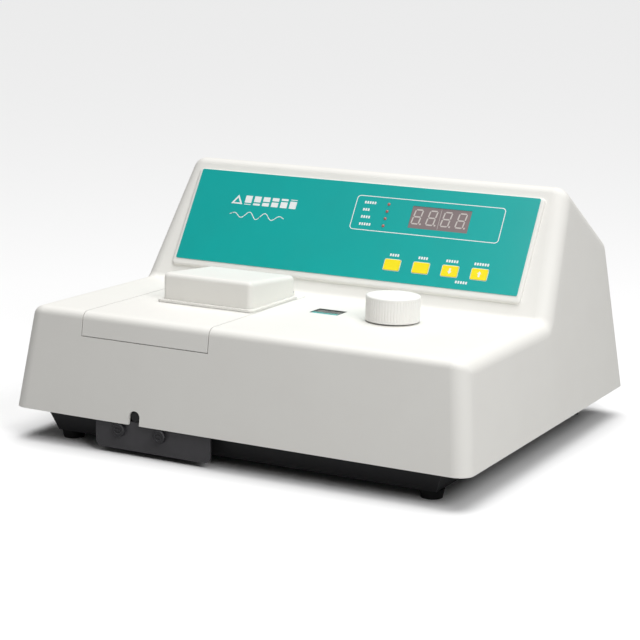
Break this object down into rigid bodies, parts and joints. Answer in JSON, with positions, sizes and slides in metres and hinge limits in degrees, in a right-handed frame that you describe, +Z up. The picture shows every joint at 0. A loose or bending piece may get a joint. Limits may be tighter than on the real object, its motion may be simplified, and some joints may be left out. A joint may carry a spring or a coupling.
{
  "type": "spectrophotometer",
  "caption": "Bench spectrophotometer: white moulded casing with a sloping teal control panel, a lidded sample chamber, a fluted wavelength knob and a dark base.",
  "frame": {"origin": "on the table, under the middle of the casing", "axes": "+Z up, front towards -Y, right-hand side towards +X"},
  "size_m": [0.46, 0.412, 0.2409],
  "materials": {
    "shell_plastic": "fine-textured satin",
    "base_paint": "low-sheen powder coat",
    "plate_paint": "low-sheen powder coat",
    "panel_teal": "satin printed film",
    "key_yellow": "satin",
    "display_filter": "smoked clear",
    "digit_module": "satin",
    "led_red": "diffused",
    "window_clear": "clear",
    "black_plastic": "satin",
    "rubber_black": "matt",
    "foam_seal": "matt",
    "steel_plain": "brushed",
    "brass_gear": "machined",
    "dial_print": "satin",
    "alloy_cast": "machined",
    "chamber_black": "matt black anodised",
    "cell_glass": "clear",
    "mirror_face": "polished",
    "lamp_ceramic": "unglazed",
    "board_green": "solder mask",
    "board_parts": "moulded",
    "photodiode_face": "moulded",
    "copper_winding": "enamelled copper"
  },
  "bodies": {
    "casing": {"base_pan": "base_paint", "board_components": "board_parts", "casing_screws": "steel_plain", "collimating_mirror": "mirror_face", "condenser_lens": "cell_glass", "detector_housing": "chamber_black", "dial_window": "window_clear", "digit_display": "digit_module", "display_board": "board_green", "display_window": "display_filter", "front_plate": "plate_paint", "fuse_holder": "black_plastic", "gear_plate": "steel_plain", "halogen_lamp": "cell_glass", "indicator_leds": "led_red", "key_switches": "black_plastic", "lamp_house": "chamber_black", "lamp_socket": "lamp_ceramic", "main_board": "board_green", "monochromator_cover": "chamber_black", "optic_mounts": "chamber_black", "optical_bench": "alloy_cast", "panel_overlay": "panel_teal", "photodiode": "photodiode_face", "plate_screws": "black_plastic", "power_inlet": "black_plastic", "rear_panel": "steel_plain", "rubber_feet": "rubber_black", "sample_chamber": "chamber_black", "serial_port": "steel_plain", "shaft_bushes": "brass_gear", "slit_plates": "chamber_black", "spacer_posts": "steel_plain", "switch_frame": "black_plastic", "top_shell": "shell_plastic", "transformer_coil": "copper_winding", "transformer_core": "steel_plain"},
    "lift_cover": {"access_cover": "shell_plastic", "hinge_pin": "steel_plain"},
    "lid": {"sample_lid": "shell_plastic", "lid_seal": "foam_seal"},
    "knob": {"wavelength_knob": "shell_plastic", "knob_shaft": "steel_plain", "drive_pinion": "brass_gear"},
    "dial": {"dial_wheel": "brass_gear", "dial_shaft": "steel_plain", "wavelength_dial": "dial_print", "wavelength_cam": "alloy_cast"},
    "grating": {"grating_table": "alloy_cast", "diffraction_grating": "mirror_face", "grating_lever": "alloy_cast"},
    "changer": {"cell_rack": "chamber_black", "sample_cells": "cell_glass", "changer_rod": "steel_plain", "rod_grip": "black_plastic"},
    "rocker": {"power_rocker": "black_plastic"},
    "key_1": {"panel_key_1": "key_yellow"},
    "key_2": {"panel_key_2": "key_yellow"},
    "key_3": {"panel_key_3": "key_yellow"},
    "key_4": {"panel_key_4": "key_yellow"}
  },
  "joints": [
    {"name": "cover_lift", "type": "slide", "parent": "casing", "child": "lift_cover", "axis": [0, 0, 1], "range_m": [0, 0.06]},
    {"name": "lid_hinge", "type": "hinge", "parent": "lift_cover", "child": "lid", "pos_m": [-0.0785, -0.0184, 0.13], "axis": [-1, 0, 0], "range_deg": [0, 80]},
    {"name": "knob_turn", "type": "hinge", "parent": "casing", "child": "knob", "pos_m": [0.0955, -0.0715, 0.14], "axis": [0, 0, 1], "range_deg": [0, 1420]},
    {"name": "dial_turn", "type": "hinge", "parent": "casing", "child": "dial", "pos_m": [0.052, -0.0715, 0.115], "axis": [0, 0, 1], "range_deg": [-322, 0]},
    {"name": "grating_turn", "type": "hinge", "parent": "casing", "child": "grating", "pos_m": [0.087, -0.0445, 0.06], "axis": [0, 0, 1], "range_deg": [-20.2, 0]},
    {"name": "cell_change", "type": "slide", "parent": "casing", "child": "changer", "axis": [0, -1, 0], "range_m": [0, 0.06]},
    {"name": "mains_rocker", "type": "hinge", "parent": "casing", "child": "rocker", "pos_m": [0.096, 0.1878, 0.064], "axis": [1, 0, 0], "range_deg": [0, 16]},
    {"name": "key_1_press", "type": "slide", "parent": "casing", "child": "key_1", "axis": [0, 0.8526, -0.5225], "range_m": [0, 0.0008], "stiffness_N_per_m": 200, "springref_m": -0.001},
    {"name": "key_2_press", "type": "slide", "parent": "casing", "child": "key_2", "axis": [0, 0.8526, -0.5225], "range_m": [0, 0.0008], "stiffness_N_per_m": 200, "springref_m": -0.001},
    {"name": "key_3_press", "type": "slide", "parent": "casing", "child": "key_3", "axis": [0, 0.8526, -0.5225], "range_m": [0, 0.0008], "stiffness_N_per_m": 200, "springref_m": -0.001},
    {"name": "key_4_press", "type": "slide", "parent": "casing", "child": "key_4", "axis": [0, 0.8526, -0.5225], "range_m": [0, 0.0008], "stiffness_N_per_m": 200, "springref_m": -0.001}
  ],
  "couplings": [
    {"joint": "dial_turn", "follows": "knob_turn", "ratio": -0.22535},
    {"joint": "grating_turn", "follows": "knob_turn", "ratio": -0.014085}
  ]
}
